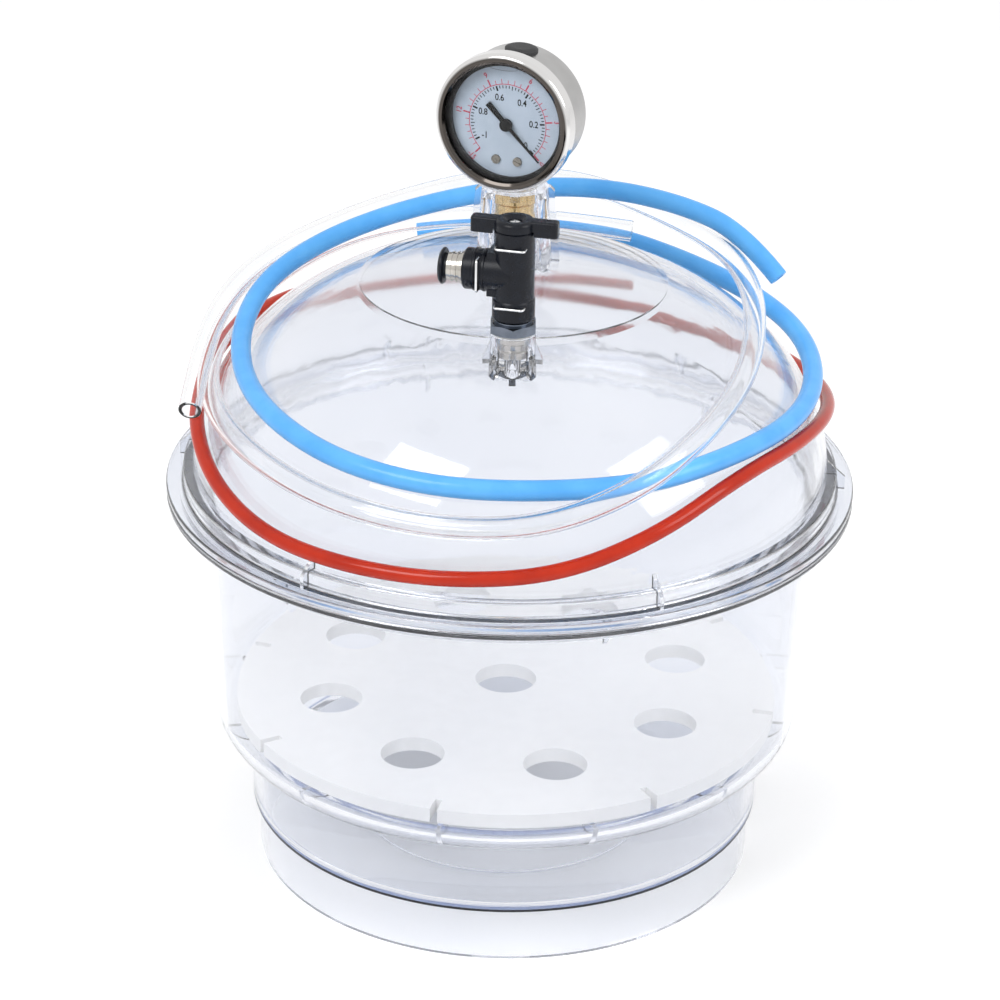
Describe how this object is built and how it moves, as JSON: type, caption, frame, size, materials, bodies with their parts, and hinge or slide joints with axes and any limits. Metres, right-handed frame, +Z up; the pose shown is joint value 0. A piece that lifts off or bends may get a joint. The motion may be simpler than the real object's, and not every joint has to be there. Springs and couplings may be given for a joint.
{
  "type": "vacuum chamber",
  "caption": "Clear domed vacuum chamber with a perforated plate inside, a dial gauge, a hand valve with a push-in port and loose hoses.",
  "frame": {"origin": "centre of the foot's lower edge, on the surface that the chamber stands on", "axes": "+Z up along the axis of the bowl and the dome, -Y to the front where the valve stands, +X to the right of the front"},
  "size_m": [0.28, 0.28, 0.3492],
  "materials": {
    "clear_shell": "clear moulded polycarbonate, glossy, bluish at its edges",
    "white_plate": "white moulded plastic, fine satin",
    "clear_silicone": "translucent silicone",
    "white_seal": "white PTFE",
    "brass": "turned",
    "steel": "bright",
    "nickel": "nickel-plated, satin bright",
    "black_paint": "matt",
    "dial_face": "matt pale blue-grey",
    "brushed_case": "brushed",
    "polished_bezel": "polished",
    "black_rubber": "matt",
    "clear_lens": "clear",
    "black_plastic": "semi-gloss moulded",
    "blue_hose": "glossy polyurethane",
    "clear_hose": "clear glossy vinyl",
    "red_hose": "glossy polyurethane"
  },
  "bodies": {
    "base": {"base_bowl": "clear_shell", "perforated_plate": "white_plate", "seal_ring": "clear_silicone"},
    "lid": {"lid_dome": "clear_shell", "gauge_insert": "brass", "valve_insert": "nickel", "stem_washer": "white_seal", "gauge_socket": "brass", "pressure_tube": "brass", "gauge_movement": "brass", "tip_link": "brass", "gauge_dial": "dial_face", "dial_screws": "steel", "gauge_case": "brushed_case", "gauge_bezel": "polished_bezel", "gauge_gasket": "black_rubber", "gauge_lens": "clear_lens", "filler_plug": "black_rubber", "stud_washer": "white_seal", "valve_stud": "nickel", "blue_hose": "blue_hose", "clear_hose": "clear_hose", "red_hose": "red_hose"},
    "sector": {"sector_gear": "brass"},
    "pointer": {"pointer_arbor": "steel", "gauge_pointer": "black_paint"},
    "valve": {"valve_housing": "black_plastic", "housing_clips": "steel", "port_seal": "black_rubber", "grip_ring": "steel", "port_sleeve": "nickel"},
    "handle": {"valve_spindle": "nickel", "spindle_rings": "black_rubber", "valve_handle": "black_plastic", "handle_screw": "steel"},
    "release": {"release_ring": "black_plastic"}
  },
  "joints": [
    {"name": "lid_lift", "type": "slide", "parent": "base", "child": "lid", "axis": [0, 0, 1], "range_m": [0, 0.15]},
    {"name": "sector_swing", "type": "hinge", "parent": "lid", "child": "sector", "pos_m": [0, 0, 0.3092], "axis": [-0.3584, -0.9336, 0], "range_deg": [-44, 0], "stiffness_Nm_per_rad": 0.001, "springref_deg": 11.46},
    {"name": "pointer_spin", "type": "hinge", "parent": "lid", "child": "pointer", "pos_m": [0, 0, 0.3197], "axis": [-0.3584, -0.9336, 0], "range_deg": [0, 264]},
    {"name": "valve_swivel", "type": "hinge", "parent": "lid", "child": "valve", "pos_m": [0, -0.072, 0.27], "axis": [0, 0, 1], "continuous": true},
    {"name": "handle_turn", "type": "hinge", "parent": "valve", "child": "handle", "pos_m": [0, -0.072, 0.29], "axis": [0, 0, 1], "range_deg": [0, 90]},
    {"name": "release_push", "type": "slide", "parent": "valve", "child": "release", "axis": [0.9744, -0.225, 0], "range_m": [0, 0.0012], "stiffness_N_per_m": 500, "springref_m": -0.001}
  ],
  "couplings": [
    {"joint": "pointer_spin", "follows": "sector_swing", "ratio": -6}
  ]
}
